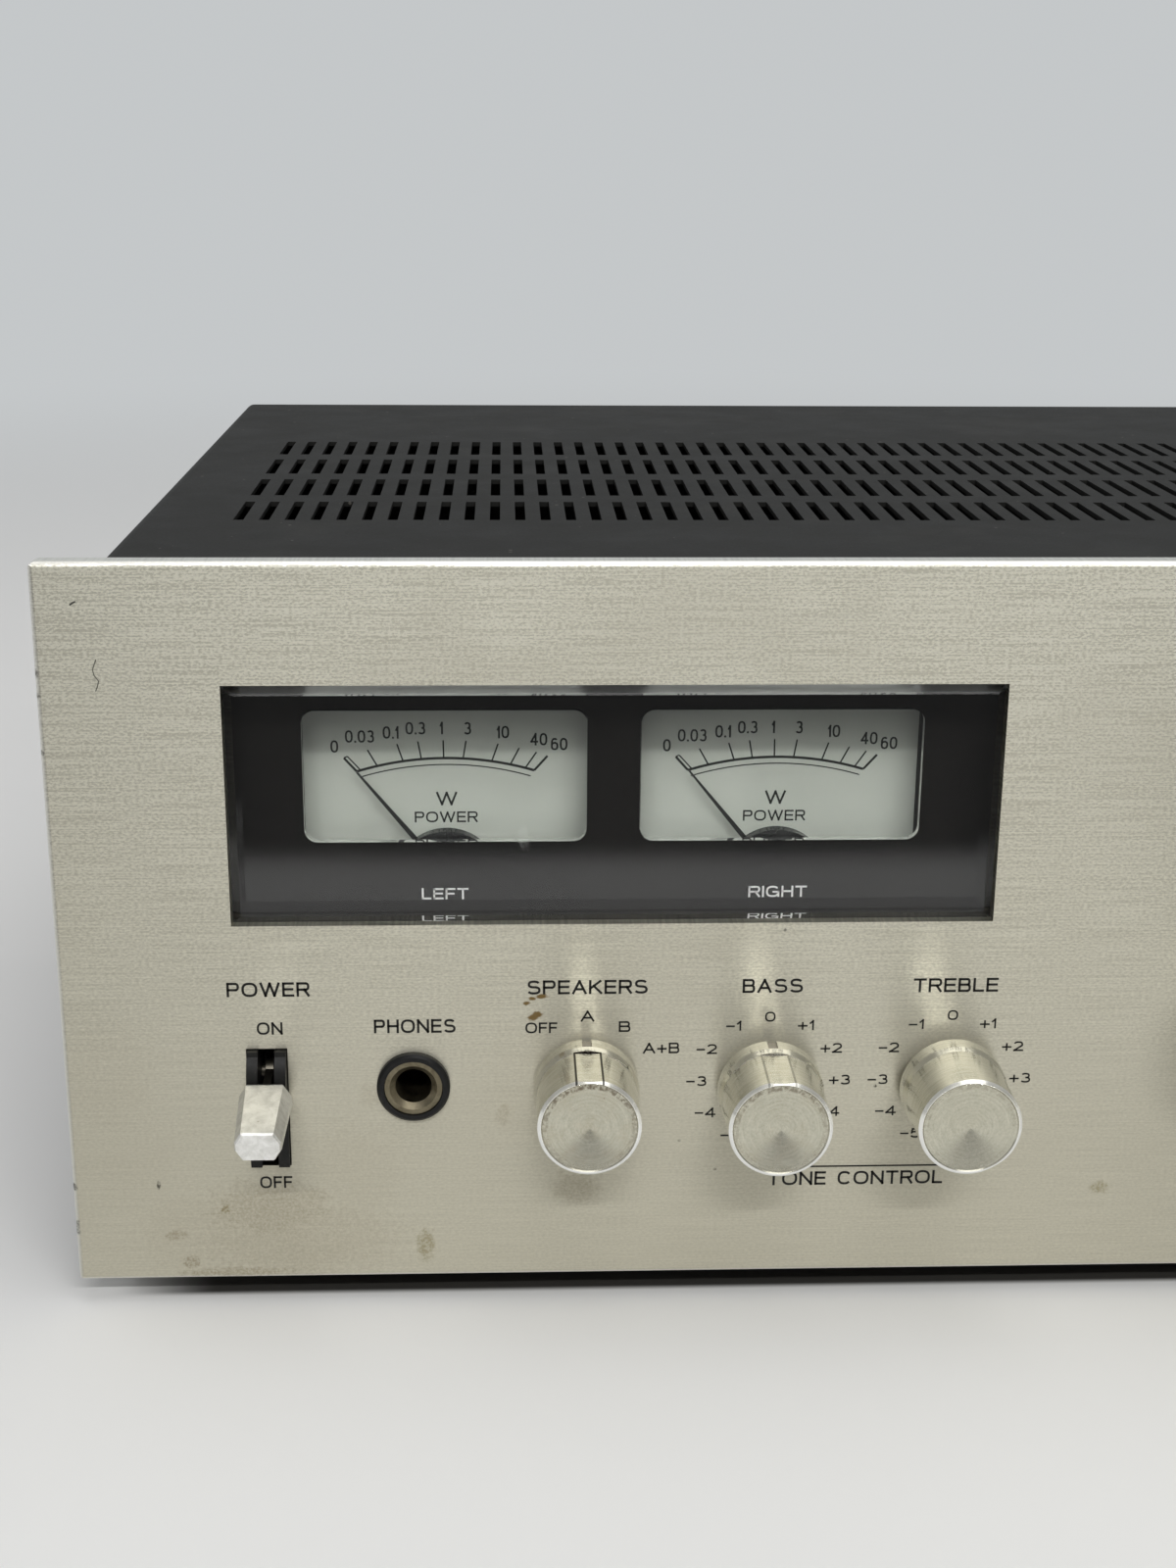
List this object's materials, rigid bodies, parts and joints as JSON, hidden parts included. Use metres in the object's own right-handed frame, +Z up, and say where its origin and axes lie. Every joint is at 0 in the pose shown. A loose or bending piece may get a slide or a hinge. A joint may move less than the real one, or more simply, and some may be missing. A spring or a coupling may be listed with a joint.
{
  "type": "stereo amplifier",
  "caption": "Flat stereo amplifier with a brushed front panel, twin needle power meters behind a bevelled window, turned knobs, lever switches and a slotted cover.",
  "frame": {"origin": "on the table under the middle of the whole box", "axes": "+X to the right of the front panel, +Y to the rear, +Z up"},
  "size_m": [0.43, 0.273, 0.14],
  "materials": {
    "panel_aluminium": "brushed along its length",
    "sheet_steel": "zinc plated",
    "acrylic": "clear polished",
    "black_plastic": "satin black",
    "dial_print": "matt pale grey-green",
    "needle_black": "matt black",
    "lamp_holder": "milky",
    "turned_aluminium": "turned, spun face",
    "bright_steel": "plated",
    "control_body": "plated cans",
    "phenolic": "brown laminate",
    "rear_paint": "satin black paint",
    "cover_paint": "matt charcoal paint",
    "rubber": "matt",
    "core_steel": "varnished laminations",
    "winding": "taped copper winding",
    "heat_sink_black": "black anodised",
    "component_black": "moulded",
    "capacitor_sleeve": "shrink sleeve",
    "relay_case": "milky case"
  },
  "bodies": {
    "case": {"front_panel": "panel_aluminium", "sub_panel": "sheet_steel", "chassis": "sheet_steel", "transformer_frame": "sheet_steel", "meter_window": "acrylic", "left_meter_lens": "acrylic", "right_meter_lens": "acrylic", "meter_mask": "black_plastic", "left_meter_case": "black_plastic", "right_meter_case": "black_plastic", "lever_switches": "black_plastic", "phones_ring": "black_plastic", "left_meter_movement": "black_plastic", "right_meter_movement": "black_plastic", "terminal_strip": "black_plastic", "cord_bushing": "black_plastic", "left_meter_dial": "dial_print", "right_meter_dial": "dial_print", "meter_lamps": "lamp_holder", "shaft_nuts": "bright_steel", "foot_screws": "bright_steel", "terminal_screws": "bright_steel", "ground_post": "bright_steel", "input_jacks": "bright_steel", "phones_jack": "bright_steel", "tone_pots": "control_body", "volume_pot": "control_body", "rotary_switches": "phenolic", "amplifier_board": "phenolic", "tone_board": "phenolic", "rear_panel": "rear_paint", "top_cover": "cover_paint", "cover_screws": "cover_paint", "rubber_feet": "rubber", "transformer_core": "core_steel", "transformer_winding": "winding", "heat_sink": "heat_sink_black", "output_transistors": "component_black", "filter_capacitors": "capacitor_sleeve", "speaker_relay": "relay_case"},
    "power_lever": {"power_lever_cap": "turned_aluminium", "power_lever_stem": "bright_steel"},
    "tape_lever": {"tape_lever_cap": "turned_aluminium", "tape_lever_stem": "bright_steel"},
    "mode_lever": {"mode_lever_cap": "turned_aluminium", "mode_lever_stem": "bright_steel"},
    "speakers_control": {"speakers_knob": "turned_aluminium", "speakers_shaft": "bright_steel"},
    "bass_control": {"bass_knob": "turned_aluminium", "bass_shaft": "bright_steel"},
    "treble_control": {"treble_knob": "turned_aluminium", "treble_shaft": "bright_steel"},
    "balance_control": {"balance_knob": "turned_aluminium", "balance_shaft": "bright_steel"},
    "volume_control": {"volume_knob": "turned_aluminium", "volume_shaft": "bright_steel"},
    "selector_control": {"selector_knob": "turned_aluminium", "selector_shaft": "bright_steel"},
    "left_needle": {"left_meter_needle": "needle_black"},
    "right_needle": {"right_meter_needle": "needle_black"}
  },
  "joints": [
    {"name": "power_lever_swing", "type": "hinge", "parent": "case", "child": "power_lever", "pos_m": [-0.1787, -0.1115, 0.045], "axis": [-1, 0, 0], "range_deg": [0, 24]},
    {"name": "tape_lever_swing", "type": "hinge", "parent": "case", "child": "tape_lever", "pos_m": [0.093, -0.1115, 0.045], "axis": [-1, 0, 0], "range_deg": [0, 24]},
    {"name": "mode_lever_swing", "type": "hinge", "parent": "case", "child": "mode_lever", "pos_m": [0.119, -0.1115, 0.045], "axis": [-1, 0, 0], "range_deg": [0, 24]},
    {"name": "speakers_turn", "type": "hinge", "parent": "case", "child": "speakers_control", "pos_m": [-0.1213, -0.1165, 0.0438], "axis": [0, 1, 0], "range_deg": [-30, 60]},
    {"name": "bass_turn", "type": "hinge", "parent": "case", "child": "bass_control", "pos_m": [-0.0881, -0.1165, 0.0438], "axis": [0, 1, 0], "range_deg": [-150, 150]},
    {"name": "treble_turn", "type": "hinge", "parent": "case", "child": "treble_control", "pos_m": [-0.0549, -0.1165, 0.0438], "axis": [0, 1, 0], "range_deg": [-300, 0]},
    {"name": "balance_turn", "type": "hinge", "parent": "case", "child": "balance_control", "pos_m": [0.062, -0.1165, 0.0438], "axis": [0, 1, 0], "range_deg": [-150, 150]},
    {"name": "volume_turn", "type": "hinge", "parent": "case", "child": "volume_control", "pos_m": [0.009, -0.1165, 0.0665], "axis": [0, 1, 0], "range_deg": [0, 300]},
    {"name": "selector_turn", "type": "hinge", "parent": "case", "child": "selector_control", "pos_m": [0.157, -0.1165, 0.0665], "axis": [0, 1, 0], "range_deg": [-30, 60]},
    {"name": "left_needle_swing", "type": "hinge", "parent": "case", "child": "left_needle", "pos_m": [-0.1463, -0.0975, 0.0793], "axis": [0, 1, 0], "range_deg": [0, 78], "stiffness_Nm_per_rad": 0.001},
    {"name": "right_needle_swing", "type": "hinge", "parent": "case", "child": "right_needle", "pos_m": [-0.0865, -0.0975, 0.0793], "axis": [0, 1, 0], "range_deg": [0, 78], "stiffness_Nm_per_rad": 0.001}
  ]
}
